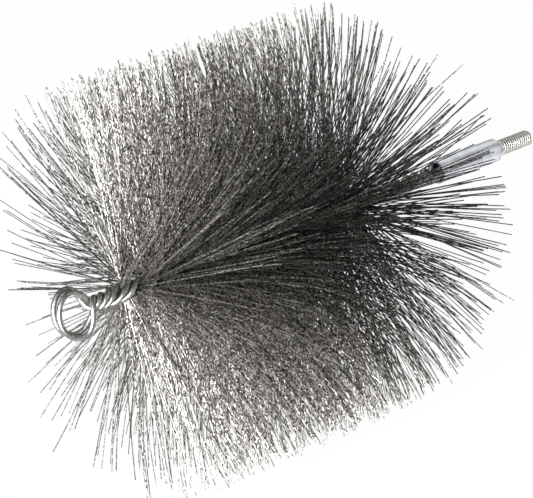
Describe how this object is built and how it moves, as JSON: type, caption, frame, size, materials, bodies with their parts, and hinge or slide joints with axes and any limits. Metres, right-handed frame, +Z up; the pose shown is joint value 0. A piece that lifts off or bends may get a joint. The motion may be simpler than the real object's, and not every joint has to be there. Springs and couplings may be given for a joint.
{
  "type": "chimney sweep brush",
  "caption": "Round twisted-wire chimney brush: steel bristles fanned from a twisted stem, with a double ring eye at one end and a ferrule with a threaded stud at the other.",
  "frame": {"origin": "on the floor under the middle of the brush's overall length, with the brush lying on its bristles", "axes": "+X along the stem towards the threaded stud, +Z up"},
  "size_m": [0.2933, 0.1997, 0.1983],
  "materials": {
    "galvanised_wire": "dull galvanised",
    "bristle_steel": "oiled spring steel",
    "zinc_plate": "bright zinc plate",
    "stud_steel": "plated thread"
  },
  "bodies": {
    "root": {"stem_wire_a": "galvanised_wire", "stem_wire_b": "galvanised_wire", "bristle_row_01": "bristle_steel", "bristle_row_02": "bristle_steel", "bristle_row_03": "bristle_steel", "bristle_row_04": "bristle_steel", "bristle_row_05": "bristle_steel", "bristle_row_06": "bristle_steel", "bristle_row_07": "bristle_steel", "bristle_row_08": "bristle_steel", "bristle_row_09": "bristle_steel", "bristle_row_10": "bristle_steel", "bristle_row_11": "bristle_steel", "bristle_row_12": "bristle_steel", "ferrule": "zinc_plate", "threaded_stud": "stud_steel"}
  },
  "joints": []
}
